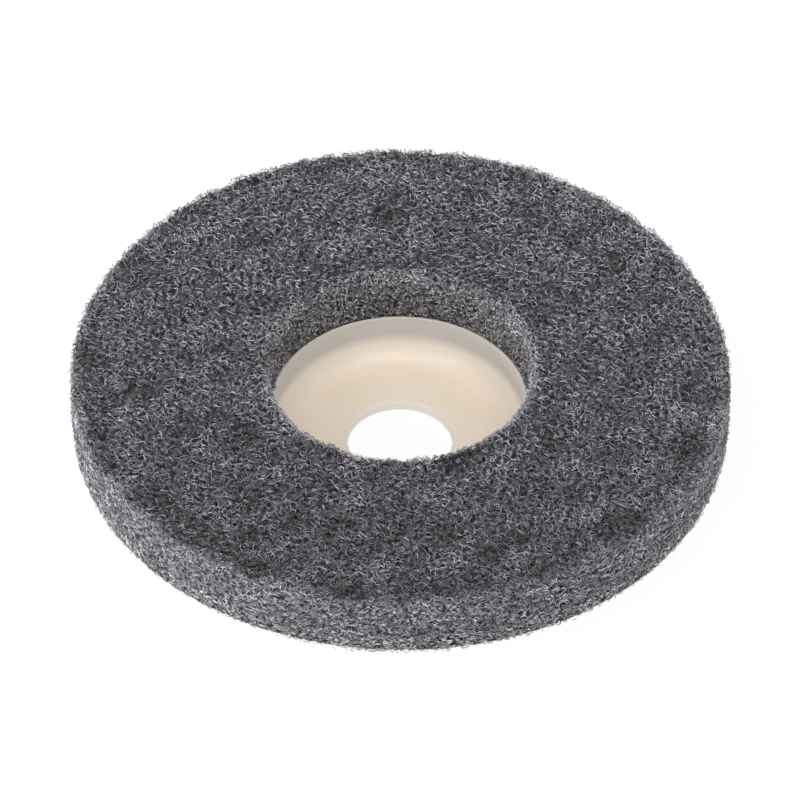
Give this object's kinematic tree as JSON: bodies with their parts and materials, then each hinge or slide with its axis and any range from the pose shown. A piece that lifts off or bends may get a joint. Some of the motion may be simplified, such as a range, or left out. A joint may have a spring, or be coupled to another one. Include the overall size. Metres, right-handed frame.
{
  "type": "non-woven polishing wheel",
  "caption": "Thick ring of grey nylon fibre web glued on a cream plastic plate with a depressed centre and a round spindle hole.",
  "frame": {"origin": "centre of the hub's back face, on the axis of the spindle hole, at the bottom of the part", "axes": "+Z along the wheel's axis, towards the working face; X and Y lie in the plane of the wheel"},
  "size_m": [0.1, 0.1, 0.0172],
  "materials": {
    "grey_fibre": "matte, open web of curled nylon fibre with small bright glints",
    "cream_plastic": "semi-gloss, slightly translucent moulded nylon"
  },
  "bodies": {
    "root": {"backing_plate": "cream_plastic", "nonwoven_ring": "grey_fibre"}
  },
  "joints": []
}
